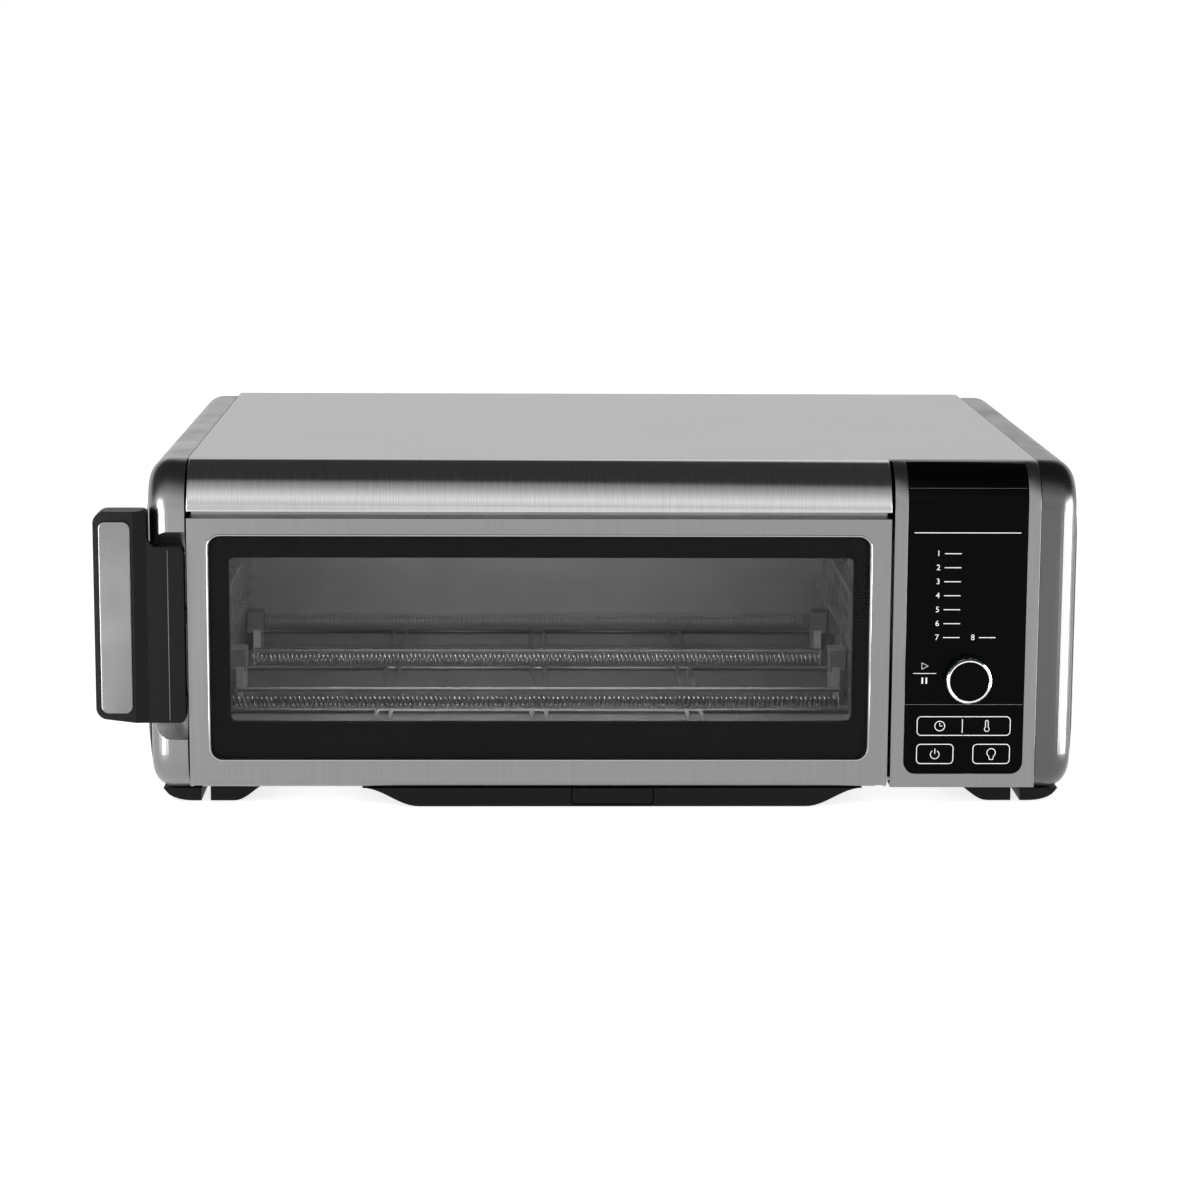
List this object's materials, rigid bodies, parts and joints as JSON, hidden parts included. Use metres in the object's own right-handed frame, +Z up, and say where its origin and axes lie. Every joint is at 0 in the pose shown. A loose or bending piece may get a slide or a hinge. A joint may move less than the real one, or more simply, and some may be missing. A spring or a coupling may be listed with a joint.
{
  "type": "toaster oven",
  "caption": "Wide, low countertop toaster oven with a drop-down glass door, side grip, control strip with a dial, and a hinged cleaning panel underneath.",
  "frame": {"origin": "on the counter, under the middle of the whole oven's outline, grip and rear stands included", "axes": "+X to the right seen from the front, +Y to the back, +Z up"},
  "size_m": [0.5344, 0.39, 0.19],
  "materials": {
    "brushed_steel": "brushed",
    "side_trim": "satin",
    "black_plastic": "fine moulded texture",
    "gloss_black": "gloss",
    "grey_sheet": "plain",
    "cavity_steel": "glossy aluminised",
    "glass": "clear",
    "black_print": "gloss enamel",
    "handle_metal": "satin",
    "chrome": "polished",
    "board_green": "solder mask",
    "quartz": "clear",
    "coil_metal": "oxidised wire",
    "ceramic": "glazed",
    "wire_chrome": "polished",
    "blanket": "felt",
    "rubber": "matt",
    "fan_alloy": "satin",
    "switch_plastic": "matt",
    "screw_steel": "zinc plated"
  },
  "bodies": {
    "cabinet": {"top_cover": "brushed_steel", "front_hood": "brushed_steel", "side_frame_left": "side_trim", "side_frame_right": "side_trim", "side_cover_left": "black_plastic", "side_cover_right": "black_plastic", "back_panel": "grey_sheet", "rear_stands": "black_plastic", "base_pan": "grey_sheet", "feet": "black_plastic", "foot_pads": "rubber", "fascia": "brushed_steel", "fascia_lens": "gloss_black", "control_board": "board_green", "display_module": "switch_plastic", "encoder_body": "switch_plastic", "power_board": "board_green", "cord_gland": "black_plastic", "cavity_left_wall": "cavity_steel", "cavity_right_wall": "cavity_steel", "cavity_back_wall": "cavity_steel", "cavity_ceiling": "cavity_steel", "cavity_front_frame": "cavity_steel", "bulkhead": "grey_sheet", "heater_tubes": "quartz", "heater_coils": "coil_metal", "heater_end_caps": "ceramic", "heater_guards": "wire_chrome", "heater_brackets": "cavity_steel", "crumb_tray": "cavity_steel", "insulation_blanket": "blanket", "fan_motor": "grey_sheet", "oven_lamp": "ceramic", "lamp_cover": "glass", "temperature_probe": "wire_chrome", "door_switch": "switch_plastic", "hinge_ears": "screw_steel", "case_screws": "screw_steel"},
    "door": {"door_frame": "brushed_steel", "door_glass_outer": "glass", "door_glass_mask": "black_print", "door_inner_frame": "grey_sheet", "door_glass_inner": "glass", "door_hinge_pins": "screw_steel", "handle_grip": "black_plastic", "handle_insert": "handle_metal", "handle_screws": "screw_steel"},
    "fan": {"convection_fan": "fan_alloy", "motor_shaft": "screw_steel", "cooling_fan": "black_plastic"},
    "dial_carrier": {"encoder_plunger": "switch_plastic"},
    "dial": {"encoder_shaft": "screw_steel", "knob_cap": "gloss_black", "knob_ring": "chrome"},
    "time_key": {"time_button": "gloss_black"},
    "temp_key": {"temp_button": "gloss_black"},
    "power_key": {"power_button": "gloss_black"},
    "light_key": {"light_button": "gloss_black"},
    "access_panel": {"access_panel": "black_plastic"},
    "latch": {"latch_button": "black_plastic"}
  },
  "joints": [
    {"name": "door_hinge", "type": "hinge", "parent": "cabinet", "child": "door", "pos_m": [-0.0279, -0.1805, 0.024], "axis": [1, 0, 0], "range_deg": [0, 90]},
    {"name": "fan_spin", "type": "hinge", "parent": "cabinet", "child": "fan", "pos_m": [0.1672, 0.013, 0.098], "axis": [1, 0, 0], "continuous": true},
    {"name": "dial_press", "type": "slide", "parent": "cabinet", "child": "dial_carrier", "axis": [0, 1, 0], "range_m": [0, 0.0015], "stiffness_N_per_m": 400},
    {"name": "dial_turn", "type": "hinge", "parent": "dial_carrier", "child": "dial", "pos_m": [0.2052, -0.187, 0.0728], "axis": [0, 1, 0], "continuous": true},
    {"name": "time_press", "type": "slide", "parent": "cabinet", "child": "time_key", "axis": [0, 1, 0], "range_m": [0, 0.001], "stiffness_N_per_m": 300},
    {"name": "temp_press", "type": "slide", "parent": "cabinet", "child": "temp_key", "axis": [0, 1, 0], "range_m": [0, 0.001], "stiffness_N_per_m": 300},
    {"name": "power_press", "type": "slide", "parent": "cabinet", "child": "power_key", "axis": [0, 1, 0], "range_m": [0, 0.001], "stiffness_N_per_m": 300},
    {"name": "light_press", "type": "slide", "parent": "cabinet", "child": "light_key", "axis": [0, 1, 0], "range_m": [0, 0.001], "stiffness_N_per_m": 300},
    {"name": "panel_hinge", "type": "hinge", "parent": "cabinet", "child": "access_panel", "pos_m": [0.0122, 0.153, 0.006], "axis": [1, 0, 0], "range_deg": [0, 75]},
    {"name": "latch_press", "type": "slide", "parent": "access_panel", "child": "latch", "axis": [0, 1, 0], "range_m": [0, 0.003], "stiffness_N_per_m": 400}
  ]
}
